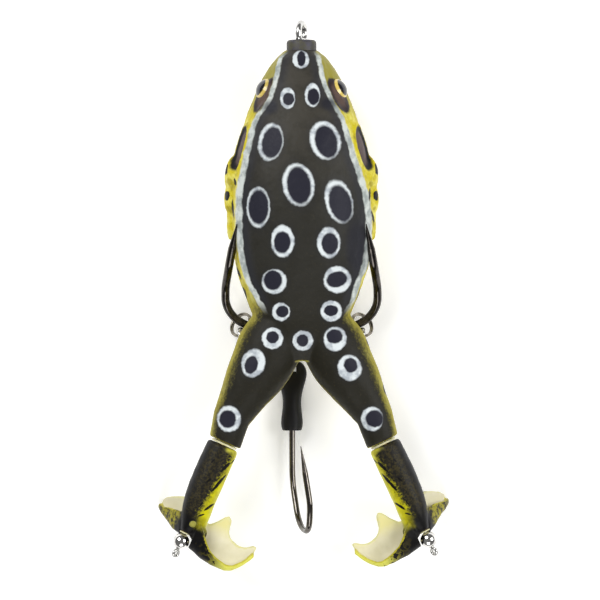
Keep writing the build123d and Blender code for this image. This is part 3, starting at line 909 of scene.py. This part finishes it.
def web_grid(side, web):
    """Points and normals over the web's middle surface, in the row frame, in millimetres."""
    start, end = web["reach"]
    grid = []
    for column in range(WEB_COLUMNS + 1):
        inward = start + (end - start) * column / WEB_COLUMNS
        row = []
        drawn_up = FOOT_SHORTER[side] * min(1.0, (inward - start) / DRAWN_UP_OVER)
        for along, up in web_section(web, inward):
            across, lift = dropped(web, inward, up)
            row.append(leg_point(side, across, along - drawn_up, lift))
        grid.append(row)
    normals = []
    for column in range(WEB_COLUMNS + 1):
        row = []
        for index in range(WEB_ROWS + 1):
            before = grid[max(column - 1, 0)][index]
            after = grid[min(column + 1, WEB_COLUMNS)][index]
            lower = grid[column][max(index - 1, 0)]
            higher = grid[column][min(index + 1, WEB_ROWS)]
            normal = (after - before).cross(higher - lower).normalized()
            row.append(normal * SIDES[side] * web["turn"])
        normals.append(row)
    return grid, normals


def add_web(mesh, side, web):
    """Adds the web as a closed plate; returns what is needed to tell its hollow side."""
    grid, normals = web_grid(side, web)
    layers = []
    for direction in (1, -1):
        layers.append([
            [
                mesh.verts.new((point + normal * direction * WEB_HALF_THICKNESS) * MM)
                for point, normal in zip(points, facing)
            ]
            for points, facing in zip(grid, normals)
        ])
    top, bottom = layers
    for c in range(WEB_COLUMNS):
        for r in range(WEB_ROWS):
            mesh.faces.new((top[c][r], top[c + 1][r], top[c + 1][r + 1], top[c][r + 1]))
            mesh.faces.new((bottom[c][r], bottom[c][r + 1], bottom[c + 1][r + 1], bottom[c + 1][r]))
    for c in range(WEB_COLUMNS):
        for r in (0, WEB_ROWS):
            mesh.faces.new((top[c][r], bottom[c][r], bottom[c + 1][r], top[c + 1][r]))
    for r in range(WEB_ROWS):
        for c in (0, WEB_COLUMNS):
            mesh.faces.new((top[c][r], top[c][r + 1], bottom[c][r + 1], bottom[c][r]))
    return grid, normals, web["border"]


def calf_rings(side):
    """Rings of the calf round the shaft, rounded at the knee and drawn in at the ankle."""
    rings = []
    for along, inner, outer, high in smooth_stations(CALF, 4):
        ring = []
        for angle in angles(CALF_POINTS):
            reach = inner if math.cos(angle) > 0 else outer
            ring.append(leg_point(side, reach * math.cos(angle), along, high * math.sin(angle)))
        rings.append(ring)
    return rings


def mark_webs(made, webs):
    """Stores on each vertex where it is on the nearest web.

    hollow: height over the middle surface; edge: way in from the rim and outer end;
    web: distance from it; toe: share of the way from the toes to the rim.
    """
    cells = []
    for grid, normals, border in webs:
        for c, (points, facing) in enumerate(zip(grid, normals)):
            for r, (point, normal) in enumerate(zip(points, facing)):
                rim = min(r, WEB_ROWS - r) / WEB_ROWS
                end = (WEB_COLUMNS - c) / WEB_COLUMNS
                inset = min(rim * RIM_GAIN, end * END_GAIN) / border
                cells.append((point, normal, inset, r / WEB_ROWS))
    tree = KDTree(len(cells))
    for index, cell in enumerate(cells):
        tree.insert(cell[0], index)
    tree.balance()
    values = {"hollow": [], "edge": [], "web": [], "toe": []}
    for vertex in made.data.vertices:
        place = vertex.co / MM
        _, index, distance = tree.find(place)
        point, normal, inset, from_toe = cells[index]
        values["hollow"].append((place - point).dot(normal))
        values["edge"].append(inset)
        values["web"].append(distance)
        values["toe"].append(from_toe)
    for name, column in values.items():
        made.data.attributes.new(name, "FLOAT", "POINT").data.foreach_set("value", column)


def prop_leg(side):
    """One moulded calf and webbed foot, which spins as a propeller."""
    mesh = bmesh.new()
    tube(mesh, calf_rings(side))
    webs = [add_web(mesh, side, web) for web in (INNER_WEB, OUTER_WEB)]
    blob(mesh, leg_point(side, *ANKLE_NUB, NUB_UP[side]), NUB_RADII)
    blob(mesh, leg_point(side, *ANKLE_SWELL), ANKLE_SWELL_RADII)
    made = piece(side + "_foot", mesh, side + "_leg", leg_paint(side))
    settle(made, LEG_VOXEL, LEG_SMOOTHING)
    carve(made, lambda place: 0.05 * noise.noise(place * 0.9))
    mark_webs(made, webs)
    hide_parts(side + "_prop_leg")


INK = srgb(9, 8, 8)
LEG_YELLOW = srgb(208, 202, 10)
LEG_YELLOW_SHADE = srgb(172, 164, 22)
LEG_LEMON = srgb(214, 212, 92)
CALF_BLACK = srgb(24, 23, 21)
CALF_OLIVE = srgb(54, 48, 26)
CALF_GREY = srgb(31, 31, 33)
KNEE_GLOW = srgb(196, 190, 60)
MOTTLE_DARK = srgb(40, 35, 18)
MOTTLE_LIGHT = srgb(150, 142, 26)
NUB_OLIVE = srgb(152, 148, 66)
WEB_CREAM = srgb(232, 226, 202)
WEB_CREAM_SHADE = srgb(216, 210, 172)
TOE_CREAM = srgb(222, 214, 150)
LIP_PALE = srgb(218, 214, 158)
LIP_YELLOW = srgb(206, 198, 76)
RIM_YELLOW = srgb(196, 186, 48)

# Dashes on the calf: ends in leg coordinates (inward, along) and half width
CALF_DASHES = [
    ((2.15, 2.6), (1.35, 4.7), 0.27),
    ((2.62, 1.8), (2.3, 2.9), 0.1),
    ((2.35, 4.7), (1.3, 8.3), 0.24),
    ((2.45, 10.0), (1.4, 11.7), 0.22),
    ((0.7, 10.4), (0.45, 11.4), 0.14),
    ((1.7, 12.2), (0.9, 12.9), 0.15),
    ((0.3, 6.3), (-0.1, 7.2), 0.18),
    ((-0.4, 3.2), (-0.7, 3.9), 0.15),
]


def leg_paint(side):
    """Dark back of the calf over bright yellow, black dashes, cream hollow webs."""
    paint = Paint(side + "_leg_paint", roughness=0.45)
    place = paint.place()
    soft = paint.warped(place, 0.7, 1.0)
    from_knee = paint.vector("SUBTRACT", soft, tuple(KNEE[side]))
    inward = paint.dot(from_knee, INWARD[side])
    along = paint.dot(from_knee, ALONG[side])
    height = paint.split(from_knee)[2]
    cloud = paint.noise(place, 0.6, 4.0, 0.6)
    speckle = paint.noise(place, 2.4, 4.0, 0.7)
    hollow = paint.stored("hollow")
    edge = paint.stored("edge")
    web = paint.stored("web")
    toe = paint.stored("toe")

    yellow = paint.mix(paint.step(cloud, 0.35, 0.65), LEG_YELLOW, LEG_YELLOW_SHADE)
    yellow = paint.mix(paint.step(inward, 2.1, 3.0), yellow, LEG_LEMON)
    olive = paint.mix(paint.step(speckle, 0.4, 0.62), CALF_BLACK, CALF_OLIVE)
    off_web = paint.step(web, 0.8, 1.4)
    greyed = paint.times(paint.step(inward, -1.2, -2.6), off_web)
    grey_side = paint.mix(greyed, olive, CALF_GREY)
    near_web = paint.step(web, 0.95, 0.7)
    border = paint.math("MULTIPLY_ADD", along, -0.125, 1.75)
    reach = paint.minus(inward, border)
    spray = paint.times(paint.minus(speckle, 0.5), 3.4)
    under = paint.times(height, 0.35)
    reach = paint.minus(paint.plus(reach, spray), under)
    paint.colour = paint.mix(paint.step(reach, 0.75, -0.85), yellow, grey_side)
    knee_glow = paint.both((along, 1.5, 0.6), (inward, 0.2, 1.4))
    paint.over(knee_glow, KNEE_GLOW)

    # Black dashes that lean across the yellow, on the upper side
    steady = paint.vector("SUBTRACT", paint.warped(place, 1.2, 0.22), tuple(KNEE[side]))
    level_in = paint.dot(steady, INWARD[side])
    level_along = paint.dot(steady, ALONG[side])
    level = paint.point(level_in, level_along)
    strokes = []
    for near, far, half_width in CALF_DASHES:
        middle = ((near[0] + far[0]) / 2, (near[1] + far[1]) / 2)
        half_length = math.dist(near, far) / 2
        lean = math.degrees(math.atan2(near[0] - far[0], far[1] - near[1]))
        strokes.append(((*middle, half_width, half_length), lean))
    stroke = paint.least(paint.oval(level, *stroke) for stroke in strokes)
    dash = paint.both((stroke, 1.15, 0.85), (height, -0.6, 0.0))
    paint.over(dash, INK)

    # The ankle and the outside of the webs: black blotches that thin out over the yellow
    from_shaft = paint.size_of(inward)
    blotch = paint.noise(place, 1.0, 4.0, 0.65)
    mottle = paint.mix(paint.step(blotch, 0.42, 0.56), MOTTLE_DARK, MOTTLE_LIGHT)
    mottle = paint.mix(paint.step(from_shaft, 5.0, 9.0), mottle, yellow)
    rear = paint.step(along, 13.6, 15.6)
    outer_side = paint.step(inward, -1.6, -2.2)
    foot = paint.larger(rear, paint.times(outer_side, near_web))
    paint.over(foot, mottle)
    cover = paint.minus(blotch, paint.times(from_shaft, 0.03))
    ankle = paint.both((along, 11.6, 14.0), (inward, 2.3, 0.6))
    cover = paint.plus(cover, paint.times(paint.step(inward, 3.2, 1.2), 0.16))
    inked = paint.larger(rear, ankle)
    heel = paint.times(inked, paint.step(cover, 0.315, 0.375))
    heel = paint.times(heel, paint.step(inward, -2.6, -1.6))
    paint.over(heel, INK)
    specks = paint.times(paint.step(speckle, 0.6, 0.66), outer_side)
    paint.over(paint.times(specks, near_web), INK)
    nub = paint.vector("DISTANCE", level, (*ANKLE_NUB, 0.0))
    outlying = paint.times(height, math.copysign(1.0, NUB_UP[side]))
    nub_top = paint.both((nub, 0.62, 0.48), (outlying, 0.8, 1.2))
    paint.over(nub_top, NUB_OLIVE)

    lip = paint.both((toe, 0.06, 0.02), (hollow, -0.34, -0.2))
    inside = paint.larger(paint.step(hollow, 0.02, 0.14), lip)
    inside = paint.times(inside, near_web)
    clear_of_ankle = paint.larger(paint.step(inward, 2.5, 3.1), paint.step(inward, -0.9, -1.3))
    inside = paint.times(inside, clear_of_ankle)
    cream = paint.mix(cloud, WEB_CREAM, WEB_CREAM_SHADE)
    toes = paint.both((along, 15.2, 12.2), (inward, 1.0, 3.0))
    cream = paint.mix(toes, cream, TOE_CREAM)
    lip_colour = paint.mix(paint.step(along, 14.0, 17.5), LIP_PALE, LIP_YELLOW)
    tinge = paint.times(paint.step(edge, 0.24, 0.0), 0.85)
    cream = paint.mix(tinge, cream, lip_colour)
    paint.over(inside, cream)
    rim_line = paint.times(paint.step(edge, 0.22, 0.06), near_web)
    rim_line = paint.times(rim_line, paint.step(from_shaft, 2.6, 3.6))
    rim_line = paint.times(rim_line, paint.step(toe, 0.4, 0.6))
    paint.over(paint.times(rim_line, 0.75), RIM_YELLOW)

    paint.set("Base Color", paint.colour)
    paint.set("Roughness", paint.plus(paint.times(speckle, 0.2), 0.36))
    paint.set("Specular IOR Level", 0.16)
    grain = paint.noise(place, 5.0, 3.0, 0.6)
    paint.set("Normal", paint.bump(grain, 0.02, 0.7))
    return paint.material


# ---- Split rings, and the finishes of the CAD pieces ----
SPLIT_RING_NORMAL = (0.6, 0.39, 0.69)  # right-hand ring; the left one is its mirror image
SPLIT_RING_R = 2.0
SPLIT_WIRE_R = 0.25
SPLIT_TURNS = 1.96
SPLIT_STEPS = 120
WIRE_POINTS = 10


def wire_rings(route, radius):
    """Rings of points along a route, kept from twisting."""
    rings = []
    normal = None
    for index, point in enumerate(route):
        ahead = route[min(index + 1, len(route) - 1)]
        behind = route[max(index - 1, 0)]
        tangent = (ahead - behind).normalized()
        if normal is None:
            normal = tangent.orthogonal().normalized()
        normal = (normal - tangent * normal.dot(tangent)).normalized()
        across = tangent.cross(normal)
        rings.append(ring_about(point, normal, across, radius, radius, WIRE_POINTS))
    return rings


def split_ring(side):
    """Two touching turns of flat-ended spring wire."""
    low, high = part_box(side + "_split_ring")
    centre = (low + high) / 2 / MM
    normal = Vector(SPLIT_RING_NORMAL)
    normal.x *= SIDES[side]
    normal.normalize()
    across = normal.orthogonal().normalized()
    upward = normal.cross(across)
    route = []
    for step in range(SPLIT_STEPS + 1):
        turn = 2 * math.pi * SPLIT_TURNS * step / SPLIT_STEPS
        rise = (step / SPLIT_STEPS - 0.5) * 2 * SPLIT_WIRE_R
        route.append(
            centre
            + (across * math.cos(turn) + upward * math.sin(turn)) * SPLIT_RING_R
            + normal * rise
        )
    mesh = bmesh.new()
    tube(mesh, wire_rings(route, SPLIT_WIRE_R))
    made = piece(side + "_split_ring_coil", mesh, "bridle", RING_STEEL)
    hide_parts(side + "_split_ring")


JOIN_WITHIN = 0.002  # the CAD's faces meet within this
CRISP_EDGE = 35  # edges that turn by more degrees than this stay crisp


def smooth_cad(name, material):
    """Gives a CAD piece that stays its finish, with smooth round surfaces and crisp edges."""
    node = frame["nodes"][name]
    node.data.materials.clear()
    node.data.materials.append(material)
    node.data.polygons.foreach_set("use_smooth", [True] * len(node.data.polygons))
    join = node.modifiers.new("join", "WELD")
    join.merge_threshold = JOIN_WITHIN * MM
    crisp = node.modifiers.new("crisp", "EDGE_SPLIT")
    crisp.split_angle = math.radians(CRISP_EDGE)


RING_STEEL = metal("ring_steel", srgb(150, 144, 132), 0.14)
CHROME = metal("bead_chrome", srgb(232, 230, 226), 0.04, 0.04)
TIE_STEEL = metal("tie_wire", srgb(222, 221, 218), 0.16)
BLACK_NICKEL = metal("black_nickel", srgb(76, 72, 68), 0.055, 0.04, srgb(44, 42, 40))
NICKEL = metal("nickel_hook", srgb(110, 105, 99), 0.08, 0.05, srgb(76, 72, 67))
SHAFT_STEEL = metal("shaft_steel", srgb(205, 204, 200), 0.2)
BRASS = metal("liner_brass", srgb(196, 158, 88), 0.28)
IRON = metal("cast_weight", srgb(96, 94, 92), 0.45)
COLLAR = moulded("collar_plastic", srgb(64, 62, 76), srgb(78, 76, 60), 0.45)
PLUG = moulded("plug_plastic", srgb(196, 190, 150), srgb(180, 172, 128), 0.5)
WASHER = moulded("washer_plastic", srgb(226, 222, 186), srgb(206, 200, 150), 0.35)
SLEEVE = moulded("shrink_tube", srgb(2, 2, 4), srgb(4, 4, 7), 0.5)

for name, material in {
    "line_tie_wire": TIE_STEEL,
    "nose_collar": COLLAR,
    "belly_weight": IRON,
    "double_hook": BLACK_NICKEL,
    "bridle_wire": TIE_STEEL,
    "stinger_hook": NICKEL,
    "stinger_tube": SLEEVE,
}.items():
    smooth_cad(name, material)
for side in SIDES:
    smooth_cad(side + "_eye", eye_paint(side))
    smooth_cad(side + "_knee_plug", PLUG)
    smooth_cad(side + "_leg_shaft", SHAFT_STEEL)
    smooth_cad(side + "_knee_washer", WASHER)
    smooth_cad(side + "_leg_liner", BRASS)
    smooth_cad(side + "_bead", CHROME)
    smooth_cad(side + "_ankle_washer", WASHER)
    split_ring(side)
    prop_leg(side)
frog_body()


# ---- Floor, light and camera ----
FLOOR_HALF = 0.6
LOOK_AT = Vector((-0.25, -44.47, 0.0)) * MM
FRAME_WIDTH = 100.0 * MM
LENS = 250.0
PAPER = srgb(250, 250, 250)
PAPER_SHADE = srgb(246, 246, 247)
PAPER_GLOW = 0.22
WHITE = (1.0, 1.0, 1.0, 1.0)
SKY_STRENGTH = 0.2

floor_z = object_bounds()[0].z
floor_mesh = bpy.data.meshes.new("floor")
corners = [(-1, -1), (1, -1), (1, 1), (-1, 1)]
floor_mesh.from_pydata(
    [(LOOK_AT.x + x * FLOOR_HALF, LOOK_AT.y + y * FLOOR_HALF, floor_z) for x, y in corners],
    [],
    [(0, 1, 2, 3)],
)
floor = add_object("floor", floor_mesh)
floor_paint = Paint("floor_paper", roughness=0.9)
paper = floor_paint.noise(floor_paint.place(), 0.5, 3.0, 0.5)
floor_paint.set("Base Color", floor_paint.mix(paper, PAPER, PAPER_SHADE))
floor_paint.set("Emission Color", WHITE)
floor_paint.set("Emission Strength", PAPER_GLOW)
floor_mesh.materials.append(floor_paint.material)


def lamp(name, place, size, power):
    """A soft square light that faces the lure."""
    data = bpy.data.lights.new(name, "AREA")
    data.shape = "SQUARE"
    data.size = size
    data.energy = power
    made = add_object(name, data)
    made.location = LOOK_AT + Vector(place)
    made.rotation_euler = (-Vector(place)).to_track_quat("-Z", "Y").to_euler()


lamp("key", (-0.3, 0.3, 0.45), 0.34, 2.6)
lamp("fill", (0.4, 0.05, 0.36), 0.3, 1.7)
lamp("low_fill", (0.0, -0.45, 0.32), 0.3, 1.3)

world = bpy.data.worlds.new("studio")
world.use_nodes = True
sky = world.node_tree.nodes["Background"]
sky.inputs["Color"].default_value = WHITE
sky.inputs["Strength"].default_value = SKY_STRENGTH
bpy.context.scene.world = world
bpy.context.scene.view_settings.view_transform = "Standard"

camera_data = bpy.data.cameras.new("camera")
camera_data.lens = LENS
camera = add_object("camera", camera_data)
camera.location = LOOK_AT + Vector((0, 0, FRAME_WIDTH * LENS / camera_data.sensor_width))
bpy.context.scene.camera = camera
